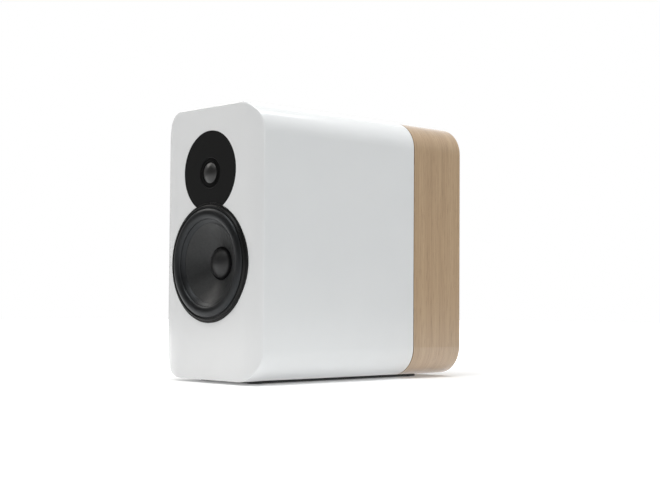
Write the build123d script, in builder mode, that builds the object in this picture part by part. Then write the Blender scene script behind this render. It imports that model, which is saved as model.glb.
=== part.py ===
from build123d import *
import os
from math import radians, tan

os.makedirs("parts", exist_ok=True)

# Two-way bookshelf speaker: a white front shell and an oak rear shell on an isolated base.
# Sizes are in millimetres. Depths run back from the front plane, heights run up from the floor.

# Cabinet
cabinet_width = 196
cabinet_height = 355
cabinet_depth = 385
front_shell_depth = 285
corner_radius = 39
baffle_flat_width = 128
baffle_bend_radius = 66
front_edge_radius = 2
rear_edge_radius = 4
seam_edge_radius = 1.2
wall = 15
baffle_thickness = 18
seam_gap = 0.8
seam_inset = 2.5
back_panel_thickness = 15
back_rebate = 8
back_panel_gap = 0.3
collar_thickness = 8
collar_half_length = 20
brace_thickness = 13
brace_frame = 22
brace_spacing = 52
damping_thickness = 8
damping_height = 240

# Base
foot_height = 0.8
foot_radius = 10
foot_inset = 16
base_plate_thickness = 2.4
base_plate_width = 116
base_plate_length = 312
base_plate_setback = 28
base_plate_corner = 14
isolator_height = 0.8
isolator_radius = 14
isolator_spacing_x = 84
isolator_spacing_y = 170
isolator_seam_gap = 16
base_screw_radius = 2
base_screw_head_radius = 4
base_screw_bite = 10
stand_hole_radius = 3
stand_spacing_x = 80
stand_spacing_y = 120
stand_hole_relief = 8

# Fits
tolerance = 0.01
rebate_gap = 0.3
screw_clearance = 0.3
thread_clearance = 0.05
post_thread_clearance = 0.08
washer_clearance = 0.15

# Woofer
trim_radius = 77.6
trim_width = 5.6
trim_proud = 3.4
trim_edge = 0.6
trim_rim_proud = 0.9
flange_setback = 0.8
flange_thickness = 3.4
driver_gasket_thickness = 0.8
surround_seat_rise = 1.4
surround_thickness = 0.7
surround_lip = 1.6
surround_crease = 0.4
roll_width = 15.2
roll_rise = 3.8
cone_lip = 5
cone_depth = 25.5
cone_thickness = 1.2
dust_cap_radius = 21.7
dust_cap_rise = 9.5
dust_cap_thickness = 0.6
coil_radius = 16.6
former_thickness = 0.3
former_lead = 2
coil_thickness = 0.7
coil_length = 12
coil_gap = 0.6
basket_wall = 3
basket_depth = 47
basket_throat = 50
basket_window_width = 34
basket_window_length = 23
basket_spokes = 6
spider_depth = 33
spider_radius = 44
spider_thickness = 0.6
spider_wave = 1.6
spider_waves = 5
spider_shelf = 3
front_plate_radius = 45
front_plate_thickness = 6
magnet_radius = 50
magnet_bore = 27
magnet_thickness = 17
yoke_radius = 47
yoke_thickness = 6.5
pole_vent_radius = 6
woofer_screw_radius = 2
woofer_screw_head_radius = 4
screw_head_height = 3
woofer_screw_circle = 70
screw_bite = 2.3
tag_board_width = 24
tag_board_height = 10
tag_board_thickness = 1.6
tag_width = 4

# Tweeter
dome_drop = 87
driver_spacing = 116.8
faceplate_offset = 2
faceplate_radius = 53
faceplate_thickness = 2
faceplate_gap = 0.4
faceplate_mouth = 20.2
faceplate_chamfer = 0.8
chassis_radius = 36
chassis_thickness = 3
chassis_boss_radius = 20
chassis_boss_rise = 0.8
chassis_throat = 15.8
chassis_ear_radius = 7
chassis_ear_circle = 40
chassis_ears = 3
dome_radius = 13.5
dome_rise = 4.6
dome_thickness = 0.35
tweeter_roll_width = 3.1
tweeter_roll_rise = 1
tweeter_lip = 3
tweeter_surround_thickness = 0.4
tweeter_former_length = 8.9
tweeter_former_thickness = 0.2
tweeter_coil_length = 3.6
tweeter_coil_thickness = 0.4
tweeter_coil_gap = 0.6
tweeter_motor_radius = 30
tweeter_plate_thickness = 4
tweeter_magnet_bore = 19
tweeter_magnet_thickness = 10
tweeter_yoke_thickness = 5
tweeter_vent_radius = 4
tweeter_hole_gap = 1
tweeter_chamber_radius = 26
tweeter_chamber_length = 20
tweeter_chamber_wall = 2
tweeter_screw_radius = 1.75
tweeter_screw_head_radius = 3.4

# Port
port_drop = 93
port_radius = 25
port_wall = 2.5
port_length = 94
port_flare_depth = 24
port_flare_radius = 11
port_rim_radius = 40
port_rim_height = 3
port_body_radius = 30

# Terminals
terminal_rise = 82
terminal_plate_width = 92
terminal_plate_height = 72
terminal_plate_corner = 8
terminal_plate_thickness = 3
terminal_gasket_thickness = 0.8
terminal_ledge = 9
terminal_screw_radius = 1.75
terminal_screw_head_radius = 3.4
terminal_screw_bite = 8
post_spacing_x = 40
post_spacing_z = 32
post_radius = 3
post_tail = 14
socket_radius = 2
socket_length = 18
insulator_radius = 8
insulator_height = 3
insulator_spigot = 4.9
spigot_relief = 0.3
hex_nut_radius = 6
hex_nut_height = 4
link_thickness = 1
link_width = 10
post_washer_radius = 7.5
post_washer_thickness = 1.6
post_nut_radius = 7
post_nut_length = 16
post_nut_flutes = 16
post_nut_flute_radius = 0.7
post_nut_chamfer = 1
post_end_recess = 1

# Crossover
board_width = 112
board_length = 86
board_thickness = 1.6
board_collar_gap = 8
board_brace_gap = 16
standoff_height = 8
standoff_radius = 4
standoff_inset = 8
large_coil_radius = 25
large_coil_bore = 10
large_coil_height = 22
small_coil_radius = 17
small_coil_bore = 7
small_coil_height = 16
coil_flange = 2
capacitor_radius = 9
capacitor_length = 34
capacitor_pitch = 20
capacitor_count = 2
resistor_length = 24
resistor_size = 9
resistor_pitch = 13
resistor_count = 2
lead_radius = 1.8
lead_bend_share = 0.45
lead_post_run = 30

# Places worked out from the sizes above
base_height = foot_height + base_plate_thickness + isolator_height
cabinet_middle = base_height + cabinet_height / 2
cabinet_top = base_height + cabinet_height
inner_floor = base_height + wall
inner_width = cabinet_width - 2 * wall
inner_height = cabinet_height - 2 * wall
inner_corner = corner_radius - wall
dome_height = cabinet_top - dome_drop
woofer_height = dome_height - driver_spacing
faceplate_height = dome_height + faceplate_offset
port_height = cabinet_top - port_drop
terminal_height = base_height + terminal_rise

# Depths of the woofer's stacked faces and its working radii
flange_back = flange_setback + flange_thickness
woofer_rebate = flange_back + driver_gasket_thickness
flange_radius = trim_radius - trim_edge
seat_depth = -surround_seat_rise
lip_front = seat_depth - surround_thickness
trim_inner = trim_radius - trim_width
trim_bead = trim_inner + trim_width / 2
lip_radius = trim_inner + surround_lip
roll_outer = trim_inner - surround_crease
cone_radius = roll_outer - roll_width
roll_middle = cone_radius + roll_width / 2
roll_proud = roll_rise - lip_front
cone_slope = cone_depth / (cone_radius - coil_radius)
basket_radius = cone_radius + roll_width / 2
basket_hole = basket_radius + rebate_gap
plate_bore = coil_radius + coil_thickness + coil_gap
pole_radius = coil_radius - former_thickness - coil_gap
front_plate_back = basket_depth + front_plate_thickness
coil_middle = basket_depth + front_plate_thickness / 2
magnet_back = front_plate_back + magnet_thickness
yoke_back = magnet_back + yoke_thickness

# Depths of the tweeter's stacked faces
chassis_back = faceplate_thickness + chassis_thickness
chassis_pocket = chassis_back + driver_gasket_thickness
boss_front = faceplate_thickness - chassis_boss_rise
tweeter_lip_front = boss_front - tweeter_surround_thickness
tweeter_roll_outer = dome_radius + tweeter_roll_width
dome_rim = tweeter_lip_front - tweeter_former_thickness
tweeter_plate_back = chassis_back + tweeter_plate_thickness
tweeter_magnet_back = tweeter_plate_back + tweeter_magnet_thickness
tweeter_yoke_back = tweeter_magnet_back + tweeter_yoke_thickness
tweeter_hole = tweeter_motor_radius + tweeter_hole_gap

# Depths along a binding post, outwards from the back of the cabinet
link_front = cabinet_depth + insulator_height
washer_front = link_front + link_thickness
nut_front = washer_front + post_washer_thickness
nut_back = nut_front + post_nut_length
post_reach = nut_back - cabinet_depth
terminal_pocket = terminal_plate_thickness + terminal_gasket_thickness
terminal_opening_width = terminal_plate_width - 2 * terminal_ledge
terminal_opening_height = terminal_plate_height - 2 * terminal_ledge
terminal_screw_spacing_x = terminal_plate_width - terminal_ledge
terminal_screw_spacing_z = terminal_plate_height - terminal_ledge

# The frame's origin is on the floor, below the middle of the whole object's length
front_y = -(cabinet_depth + post_reach - roll_proud) / 2
base_plate_middle = front_y + base_plate_setback + base_plate_length / 2
mount_middle = front_y + front_shell_depth - isolator_seam_gap - isolator_spacing_y / 2
rear_shell_front = front_shell_depth + seam_gap
back_panel_front = cabinet_depth - back_panel_thickness
collar_front = front_shell_depth - collar_half_length
board_depth = collar_front - board_collar_gap - board_length
rear_brace_depth = board_depth - board_brace_gap - brace_thickness
front_brace_depth = rear_brace_depth - brace_spacing


def facing(depth):
    """Plane across the speaker at a depth, seen from the front: x to the right, y up."""
    return Plane(origin=(0, front_y + depth, 0), x_dir=(1, 0, 0), z_dir=(0, -1, 0))


def profile_plane(height, across=0):
    """Plane of a turned piece's half profile: x is its radius, y its depth behind the front plane."""
    return Plane(origin=(across, front_y, height), x_dir=(1, 0, 0), z_dir=(0, 0, 1))


def turning_axis(height, across=0):
    """Axis of a turned piece, running straight back from the front plane."""
    return Axis((across, front_y, height), (0, 1, 0))


def cone_face(radius):
    """Depth of the cone's front face at a radius."""
    return seat_depth + (cone_radius - radius) * cone_slope


def chassis_outline(margin):
    """The tweeter chassis seen from the front, a disc with ears, grown by a margin."""
    with Locations((0, dome_height)):
        Circle(chassis_radius + margin)
        with PolarLocations(chassis_ear_circle, chassis_ears, start_angle=90):
            Circle(chassis_ear_radius + margin)


def post_places():
    """Centres of the four binding posts on the back, by name."""
    half_x = post_spacing_x / 2
    half_z = post_spacing_z / 2
    return {
        "high_plus": (half_x, terminal_height + half_z),
        "high_minus": (-half_x, terminal_height + half_z),
        "low_plus": (half_x, terminal_height - half_z),
        "low_minus": (-half_x, terminal_height - half_z),
    }


# Front shell: one lacquered shell with the baffle as its front wall, bent back towards both sides
with BuildPart() as front_shell:
    with BuildSketch(facing(0)):
        with Locations((0, cabinet_middle)):
            RectangleRounded(cabinet_width, cabinet_height, corner_radius)
    extrude(amount=-front_shell_depth)
    with BuildSketch(Plane.XY.offset(base_height)):
        with BuildLine():
            bend = CenterArc(
                (baffle_flat_width / 2, front_y + baffle_bend_radius), baffle_bend_radius, -90, 60
            )
            Polyline(
                bend @ 1,
                ((bend @ 1).X, front_y - wall),
                (baffle_flat_width / 2, front_y - wall),
                bend @ 0,
            )
        make_face()
        mirror(about=Plane.YZ)
    extrude(amount=cabinet_height, mode=Mode.SUBTRACT)
    baffle_faces = front_shell.faces().filter_by(lambda face: face.normal_at().Y < -0.5)
    baffle_rim = baffle_faces.edges().filter_by(
        lambda edge: abs(abs(edge.center().X) - baffle_flat_width / 2) > tolerance
        or edge.length < cabinet_height / 2
    )
    fillet(baffle_rim, front_edge_radius)
    fillet(front_shell.faces().sort_by(Axis.Y)[-1].edges(), seam_edge_radius)
    with BuildSketch(facing(baffle_thickness)):
        with Locations((0, cabinet_middle)):
            RectangleRounded(inner_width, inner_height, inner_corner)
    extrude(amount=-front_shell_depth, mode=Mode.SUBTRACT)
    with BuildSketch(facing(0)):
        with Locations((0, woofer_height)):
            Circle(trim_radius + rebate_gap)
    extrude(amount=-woofer_rebate, mode=Mode.SUBTRACT)
    with BuildSketch(facing(0)):
        with Locations((0, woofer_height)):
            Circle(basket_hole)
            with PolarLocations(woofer_screw_circle, basket_spokes, start_angle=30):
                Circle(woofer_screw_radius + screw_clearance)
    extrude(amount=-baffle_thickness, mode=Mode.SUBTRACT)
    with BuildSketch(facing(0)):
        with Locations((0, faceplate_height)):
            Circle(faceplate_radius + rebate_gap)
    extrude(amount=-faceplate_thickness, mode=Mode.SUBTRACT)
    with BuildSketch(facing(0)):
        chassis_outline(rebate_gap)
    extrude(amount=-chassis_pocket, mode=Mode.SUBTRACT)
    with BuildSketch(facing(0)):
        with Locations((0, dome_height)):
            Circle(tweeter_hole)
            with PolarLocations(chassis_ear_circle, chassis_ears, start_angle=90):
                Circle(tweeter_screw_radius + screw_clearance)
    extrude(amount=-baffle_thickness, mode=Mode.SUBTRACT)
    with BuildSketch(Plane.XY.offset(base_height)):
        with Locations((0, mount_middle)):
            with GridLocations(isolator_spacing_x, isolator_spacing_y, 2, 2):
                Circle(base_screw_radius + thread_clearance)
    extrude(amount=base_screw_bite, mode=Mode.SUBTRACT)
    with BuildSketch(Plane.XY.offset(base_height)):
        with Locations((0, mount_middle)):
            with GridLocations(stand_spacing_x, stand_spacing_y, 2, 2):
                Circle(stand_hole_radius + screw_clearance)
    extrude(amount=stand_hole_relief, mode=Mode.SUBTRACT)
front_shell.part.label = "front_shell"
export_step(front_shell.part, "parts/front_shell.step")

# Rear shell: an open veneered sleeve with a rebate for the back panel
with BuildPart() as rear_shell:
    with BuildSketch(facing(rear_shell_front)):
        with Locations((0, cabinet_middle)):
            RectangleRounded(cabinet_width, cabinet_height, corner_radius)
    extrude(amount=rear_shell_front - cabinet_depth)
    fillet(rear_shell.faces().sort_by(Axis.Y)[-1].edges(), rear_edge_radius)
    with BuildSketch(facing(rear_shell_front)):
        with Locations((0, cabinet_middle)):
            RectangleRounded(inner_width, inner_height, inner_corner)
    extrude(amount=rear_shell_front - cabinet_depth, mode=Mode.SUBTRACT)
    with BuildSketch(facing(back_panel_front)):
        with Locations((0, cabinet_middle)):
            RectangleRounded(
                inner_width + 2 * back_rebate, inner_height + 2 * back_rebate, inner_corner + back_rebate
            )
    extrude(amount=-back_panel_thickness, mode=Mode.SUBTRACT)
rear_shell.part.label = "rear_shell"
export_step(rear_shell.part, "parts/rear_shell.step")

# Seam gasket: a thin dark ring between the two shells, set in from their outsides
with BuildPart() as seam_gasket:
    with BuildSketch(facing(front_shell_depth)):
        with Locations((0, cabinet_middle)):
            RectangleRounded(
                cabinet_width - 2 * seam_inset,
                cabinet_height - 2 * seam_inset,
                corner_radius - seam_inset,
            )
            RectangleRounded(inner_width, inner_height, inner_corner, mode=Mode.SUBTRACT)
    extrude(amount=-seam_gap)
seam_gasket.part.label = "seam_gasket"
export_step(seam_gasket.part, "parts/seam_gasket.step")

# Joint collar: a board ring glued inside both shells, which lines them up across the seam
with BuildPart() as joint_collar:
    with BuildSketch(facing(collar_front)):
        with Locations((0, cabinet_middle)):
            RectangleRounded(inner_width, inner_height, inner_corner)
            RectangleRounded(
                inner_width - 2 * collar_thickness,
                inner_height - 2 * collar_thickness,
                inner_corner - collar_thickness,
                mode=Mode.SUBTRACT,
            )
    extrude(amount=-2 * collar_half_length)
joint_collar.part.label = "joint_collar"
export_step(joint_collar.part, "parts/joint_collar.step")

# Cabinet braces: two window frames that tie the walls together behind the woofer
with BuildPart() as cabinet_braces:
    for brace_depth in (front_brace_depth, rear_brace_depth):
        with BuildSketch(facing(brace_depth)):
            with Locations((0, cabinet_middle)):
                RectangleRounded(inner_width, inner_height, inner_corner)
                RectangleRounded(
                    inner_width - 2 * brace_frame,
                    inner_height - 2 * brace_frame,
                    inner_corner,
                    mode=Mode.SUBTRACT,
                )
        extrude(amount=-brace_thickness)
cabinet_braces.part.label = "cabinet_braces"
export_step(cabinet_braces.part, "parts/cabinet_braces.step")

# Damping pads: felt glued to the side walls between the braces
damping_front = front_brace_depth + brace_thickness
damping_length = rear_brace_depth - damping_front
with BuildPart() as damping_pads:
    with BuildSketch(facing(damping_front)):
        with Locations((0, cabinet_middle)):
            with GridLocations(inner_width - damping_thickness, 0, 2, 1):
                Rectangle(damping_thickness, damping_height)
    extrude(amount=-damping_length)
damping_pads.part.label = "damping_pads"
export_step(damping_pads.part, "parts/damping_pads.step")

# Back panel: a veneered board in the rear shell's rebate, cut for the port and the terminals
with BuildPart() as back_panel:
    with BuildSketch(facing(back_panel_front)):
        with Locations((0, cabinet_middle)):
            RectangleRounded(
                inner_width + 2 * (back_rebate - back_panel_gap),
                inner_height + 2 * (back_rebate - back_panel_gap),
                inner_corner + back_rebate - back_panel_gap,
            )
        with Locations((0, port_height)):
            Circle(port_body_radius + rebate_gap, mode=Mode.SUBTRACT)
        with Locations((0, terminal_height)):
            Rectangle(terminal_opening_width, terminal_opening_height, mode=Mode.SUBTRACT)
    extrude(amount=-back_panel_thickness)
    with BuildSketch(facing(cabinet_depth - terminal_pocket)):
        with Locations((0, terminal_height)):
            RectangleRounded(
                terminal_plate_width + 2 * rebate_gap,
                terminal_plate_height + 2 * rebate_gap,
                terminal_plate_corner + rebate_gap,
            )
    extrude(amount=-terminal_pocket, mode=Mode.SUBTRACT)
    with BuildSketch(facing(cabinet_depth - terminal_pocket)):
        with Locations((0, terminal_height)):
            with GridLocations(terminal_screw_spacing_x, terminal_screw_spacing_z, 2, 2):
                Circle(terminal_screw_radius + thread_clearance)
    extrude(amount=terminal_screw_bite, mode=Mode.SUBTRACT)
back_panel.part.label = "back_panel"
export_step(back_panel.part, "parts/back_panel.step")

# Base plate: black steel, drilled for the cabinet screws and tapped for a stand's bolts
with BuildPart() as base_plate:
    with BuildSketch(Plane.XY.offset(foot_height)):
        with Locations((0, base_plate_middle)):
            RectangleRounded(base_plate_width, base_plate_length, base_plate_corner)
        with Locations((0, mount_middle)):
            with GridLocations(stand_spacing_x, stand_spacing_y, 2, 2):
                Circle(stand_hole_radius, mode=Mode.SUBTRACT)
    extrude(amount=base_plate_thickness)
    with Locations((0, mount_middle, foot_height)):
        with GridLocations(isolator_spacing_x, isolator_spacing_y, 2, 2):
            with Locations(Rotation(180, 0, 0)):
                CounterSinkHole(
                    base_screw_radius + screw_clearance, base_screw_head_radius + screw_clearance
                )
base_plate.part.label = "base_plate"
export_step(base_plate.part, "parts/base_plate.step")

# Base feet: rubber pads bonded under the corners of the base plate
with BuildPart() as base_feet:
    with BuildSketch(Plane.XY):
        with Locations((0, base_plate_middle)):
            with GridLocations(
                base_plate_width - 2 * foot_inset, base_plate_length - 2 * foot_inset, 2, 2
            ):
                Circle(foot_radius)
    extrude(amount=foot_height)
base_feet.part.label = "base_feet"
export_step(base_feet.part, "parts/base_feet.step")

# Base isolators: soft washers that keep the plate clear of the cabinet
with BuildPart() as base_isolators:
    with BuildSketch(Plane.XY.offset(foot_height + base_plate_thickness)):
        with Locations((0, mount_middle)):
            with GridLocations(isolator_spacing_x, isolator_spacing_y, 2, 2):
                Circle(isolator_radius)
                Circle(base_screw_radius + screw_clearance, mode=Mode.SUBTRACT)
    extrude(amount=isolator_height)
base_isolators.part.label = "base_isolators"
export_step(base_isolators.part, "parts/base_isolators.step")

# Base screws: countersunk, from below through plate and isolator into the cabinet's floor
base_screw_slope = base_screw_head_radius - base_screw_radius
with BuildPart() as base_screws:
    with Locations((0, mount_middle, foot_height)):
        with GridLocations(isolator_spacing_x, isolator_spacing_y, 2, 2):
            Cone(
                base_screw_head_radius,
                base_screw_radius,
                base_screw_slope,
                align=(Align.CENTER, Align.CENTER, Align.MIN),
            )
            Cylinder(
                base_screw_radius,
                base_height - foot_height + base_screw_bite,
                align=(Align.CENTER, Align.CENTER, Align.MIN),
            )
base_screws.part.label = "base_screws"
export_step(base_screws.part, "parts/base_screws.step")

# Woofer basket: a cast frame with a flange, a surround seat, spokes, a spider shelf and a motor seat
shelf_back = spider_depth + spider_shelf
with BuildPart() as woofer_basket:
    with BuildSketch(profile_plane(woofer_height)):
        with BuildLine():
            Polyline(
                (flange_radius, flange_setback),
                (flange_radius, flange_back),
                (basket_radius, flange_back),
                (basket_throat, basket_depth - basket_wall),
                (basket_throat, basket_depth),
                (plate_bore + coil_gap, basket_depth),
                (plate_bore + coil_gap, basket_depth - basket_wall),
                (basket_throat - basket_wall, basket_depth - basket_wall),
                (basket_throat - basket_wall, shelf_back),
                (spider_radius - basket_wall, shelf_back),
                (spider_radius - basket_wall, spider_depth),
                (basket_throat, spider_depth),
                (basket_radius - basket_wall, flange_back),
                (roll_outer - basket_wall, flange_setback),
                (roll_outer - basket_wall, seat_depth),
                (lip_radius, seat_depth),
                (lip_radius, flange_setback),
                close=True,
            )
        make_face()
    revolve(axis=turning_axis(woofer_height))
    with BuildSketch(facing(spider_depth - basket_window_length)):
        with Locations((0, woofer_height)):
            with PolarLocations(basket_radius, basket_spokes):
                Rectangle(2 * (basket_radius - basket_throat + basket_wall), basket_window_width)
    extrude(amount=-basket_window_length, mode=Mode.SUBTRACT)
    with BuildSketch(facing(basket_depth - basket_wall)):
        with Locations((0, woofer_height - basket_throat - tag_board_height / 2)):
            Rectangle(tag_board_width, tag_board_height + 2 * basket_wall)
    extrude(amount=-basket_wall)
    with BuildSketch(facing(flange_back - screw_bite)):
        with Locations((0, woofer_height)):
            with PolarLocations(woofer_screw_circle, basket_spokes, start_angle=30):
                Circle(woofer_screw_radius + thread_clearance)
    extrude(amount=-screw_bite, mode=Mode.SUBTRACT)
woofer_basket.part.label = "woofer_basket"
export_step(woofer_basket.part, "parts/woofer_basket.step")

# Woofer gasket: a foam ring between the flange and the baffle's rebate
with BuildPart() as woofer_gasket:
    with BuildSketch(facing(flange_back)):
        with Locations((0, woofer_height)):
            Circle(flange_radius)
            Circle(basket_hole, mode=Mode.SUBTRACT)
            with PolarLocations(woofer_screw_circle, basket_spokes, start_angle=30):
                Circle(woofer_screw_radius + screw_clearance, mode=Mode.SUBTRACT)
    extrude(amount=-driver_gasket_thickness)
woofer_gasket.part.label = "woofer_gasket"
export_step(woofer_gasket.part, "parts/woofer_gasket.step")

# Woofer screws: driven from inside the cabinet, through the baffle into the flange
with BuildPart() as woofer_screws:
    with BuildSketch(facing(flange_back - screw_bite)):
        with Locations((0, woofer_height)):
            with PolarLocations(woofer_screw_circle, basket_spokes, start_angle=30):
                Circle(woofer_screw_radius)
    extrude(amount=flange_back - screw_bite - baffle_thickness)
    with BuildSketch(facing(baffle_thickness)):
        with Locations((0, woofer_height)):
            with PolarLocations(woofer_screw_circle, basket_spokes, start_angle=30):
                Circle(woofer_screw_head_radius)
    extrude(amount=-screw_head_height)
woofer_screws.part.label = "woofer_screws"
export_step(woofer_screws.part, "parts/woofer_screws.step")

# Woofer trim ring: a black ring pressed over the flange, a low rim with a bead around the surround
with BuildPart() as woofer_trim_ring:
    with BuildSketch(profile_plane(woofer_height)):
        with BuildLine():
            Polyline(
                (trim_radius, flange_setback),
                (trim_radius, -trim_rim_proud),
                (trim_bead, -trim_rim_proud),
                (trim_bead - trim_edge, -trim_proud),
                (trim_inner, -trim_proud),
                (trim_inner, lip_front),
                (lip_radius + rebate_gap, lip_front),
                (lip_radius + rebate_gap, flange_setback),
                close=True,
            )
        make_face()
    revolve(axis=turning_axis(woofer_height))
woofer_trim_ring.part.label = "woofer_trim_ring"
export_step(woofer_trim_ring.part, "parts/woofer_trim_ring.step")

# Woofer surround: a rubber half roll with a lip under the trim ring and a lip on the cone
with BuildPart() as woofer_surround:
    with BuildSketch(profile_plane(woofer_height)):
        with BuildLine():
            Polyline(
                (roll_outer, lip_front),
                (lip_radius, lip_front),
                (lip_radius, seat_depth),
                (roll_outer, seat_depth),
            )
            ThreePointArc(
                (roll_outer, seat_depth),
                (roll_middle, seat_depth - roll_rise),
                (cone_radius, seat_depth),
            )
            Polyline(
                (cone_radius, seat_depth),
                (cone_radius - cone_lip, cone_face(cone_radius - cone_lip)),
                (cone_radius - cone_lip, cone_face(cone_radius - cone_lip) - surround_thickness),
                (cone_radius, lip_front),
            )
            ThreePointArc(
                (cone_radius, lip_front),
                (roll_middle, lip_front - roll_rise),
                (roll_outer, lip_front),
            )
        make_face()
    revolve(axis=turning_axis(woofer_height))
woofer_surround.part.label = "woofer_surround"
export_step(woofer_surround.part, "parts/woofer_surround.step")

# Woofer cone: treated paper, from the surround's inner lip down to the coil former
with BuildPart() as woofer_cone:
    with BuildSketch(profile_plane(woofer_height)):
        with BuildLine():
            Polyline(
                (cone_radius, seat_depth),
                (coil_radius, cone_face(coil_radius)),
                (coil_radius, cone_face(coil_radius) + cone_thickness),
                (cone_radius, seat_depth + cone_thickness),
                close=True,
            )
        make_face()
    revolve(axis=turning_axis(woofer_height))
woofer_cone.part.label = "woofer_cone"
export_step(woofer_cone.part, "parts/woofer_cone.step")

# Woofer dust cap: a shallow dome glued on the cone's front face
cap_rim = cone_face(dust_cap_radius)
cap_apex = cap_rim - dust_cap_rise
with BuildPart() as woofer_dust_cap:
    with BuildSketch(profile_plane(woofer_height)):
        with BuildLine():
            TangentArc((0, cap_apex), (dust_cap_radius, cap_rim), tangent=(1, 0))
            Line((dust_cap_radius, cap_rim), (dust_cap_radius - dust_cap_thickness, cap_rim))
            TangentArc(
                (0, cap_apex + dust_cap_thickness),
                (dust_cap_radius - dust_cap_thickness, cap_rim),
                tangent=(1, 0),
            )
            Line((0, cap_apex + dust_cap_thickness), (0, cap_apex))
        make_face()
    revolve(axis=turning_axis(woofer_height))
woofer_dust_cap.part.label = "woofer_dust_cap"
export_step(woofer_dust_cap.part, "parts/woofer_dust_cap.step")

# Woofer coil former: a thin tube from the cone's neck into the magnet gap
former_front = cone_face(coil_radius) - former_lead
coil_back = coil_middle + coil_length / 2
with BuildPart() as woofer_coil_former:
    with BuildSketch(facing(former_front)):
        with Locations((0, woofer_height)):
            Circle(coil_radius)
            Circle(coil_radius - former_thickness, mode=Mode.SUBTRACT)
    extrude(amount=former_front - coil_back)
woofer_coil_former.part.label = "woofer_coil_former"
export_step(woofer_coil_former.part, "parts/woofer_coil_former.step")

# Woofer coil winding: copper wound on the former's end, longer than the gap
with BuildPart() as woofer_coil_winding:
    with BuildSketch(facing(coil_back - coil_length)):
        with Locations((0, woofer_height)):
            Circle(coil_radius + coil_thickness)
            Circle(coil_radius, mode=Mode.SUBTRACT)
    extrude(amount=-coil_length)
woofer_coil_winding.part.label = "woofer_coil_winding"
export_step(woofer_coil_winding.part, "parts/woofer_coil_winding.step")

# Woofer spider: a corrugated cloth disc from the former to the basket's shelf
spider_lip = spider_radius - basket_wall
spider_step = (spider_lip - coil_radius) / spider_waves
spider_back = spider_depth - spider_thickness
with BuildPart() as woofer_spider:
    with BuildSketch(profile_plane(woofer_height)):
        with BuildLine():
            for wave in range(spider_waves):
                wave_start = coil_radius + wave * spider_step
                wave_middle = wave_start + spider_step / 2
                wave_end = wave_start + spider_step
                swing = spider_wave if wave % 2 else -spider_wave
                for face in (spider_depth, spider_back):
                    ThreePointArc((wave_start, face), (wave_middle, face + swing), (wave_end, face))
            Polyline(
                (spider_lip, spider_depth),
                (spider_radius, spider_depth),
                (spider_radius, spider_back),
                (spider_lip, spider_back),
            )
            Line((coil_radius, spider_back), (coil_radius, spider_depth))
        make_face()
    revolve(axis=turning_axis(woofer_height))
woofer_spider.part.label = "woofer_spider"
export_step(woofer_spider.part, "parts/woofer_spider.step")

# Woofer front plate: steel washer that carries the outside of the magnet gap
with BuildPart() as woofer_front_plate:
    with BuildSketch(facing(basket_depth)):
        with Locations((0, woofer_height)):
            Circle(front_plate_radius)
            Circle(plate_bore, mode=Mode.SUBTRACT)
    extrude(amount=-front_plate_thickness)
woofer_front_plate.part.label = "woofer_front_plate"
export_step(woofer_front_plate.part, "parts/woofer_front_plate.step")

# Woofer magnet: a ferrite ring
with BuildPart() as woofer_magnet:
    with BuildSketch(facing(front_plate_back)):
        with Locations((0, woofer_height)):
            Circle(magnet_radius)
            Circle(magnet_bore, mode=Mode.SUBTRACT)
    extrude(amount=-magnet_thickness)
woofer_magnet.part.label = "woofer_magnet"
export_step(woofer_magnet.part, "parts/woofer_magnet.step")

# Woofer yoke: a back plate and a vented pole in one steel piece
with BuildPart() as woofer_yoke:
    with BuildSketch(profile_plane(woofer_height)):
        with BuildLine():
            Polyline(
                (pole_vent_radius, basket_depth),
                (pole_radius, basket_depth),
                (pole_radius, magnet_back),
                (yoke_radius, magnet_back),
                (yoke_radius, yoke_back),
                (pole_vent_radius, yoke_back),
                close=True,
            )
        make_face()
    revolve(axis=turning_axis(woofer_height))
woofer_yoke.part.label = "woofer_yoke"
export_step(woofer_yoke.part, "parts/woofer_yoke.step")

# Woofer terminals: a tag board on the basket's lug, with two solder tags
tag_height = woofer_height - basket_throat - tag_board_height / 2
with BuildPart() as woofer_terminals:
    with BuildSketch(facing(basket_depth)):
        with Locations((0, tag_height)):
            Rectangle(tag_board_width, tag_board_height)
    extrude(amount=-tag_board_thickness)
    with BuildSketch(facing(basket_depth + tag_board_thickness)):
        with Locations((0, tag_height)):
            with GridLocations(tag_board_width / 2, 0, 2, 1):
                Rectangle(tag_width, tag_board_height)
    extrude(amount=-tag_board_thickness / 2)
woofer_terminals.part.label = "woofer_terminals"
export_step(woofer_terminals.part, "parts/woofer_terminals.step")

# Tweeter faceplate: a flat black disc, bitten by the woofer's trim ring
with BuildPart() as tweeter_faceplate:
    with BuildSketch(facing(0)):
        with Locations((0, faceplate_height)):
            Circle(faceplate_radius)
        with Locations((0, dome_height)):
            Circle(faceplate_mouth, mode=Mode.SUBTRACT)
        with Locations((0, woofer_height)):
            Circle(trim_radius + faceplate_gap, mode=Mode.SUBTRACT)
    extrude(amount=-faceplate_thickness)
    front_edges = tweeter_faceplate.faces().sort_by(Axis.Y)[0].edges()
    mouth_edge = front_edges.filter_by(GeomType.CIRCLE).sort_by(SortBy.RADIUS)[0]
    chamfer(mouth_edge, faceplate_chamfer)
tweeter_faceplate.part.label = "tweeter_faceplate"
export_step(tweeter_faceplate.part, "parts/tweeter_faceplate.step")

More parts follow.
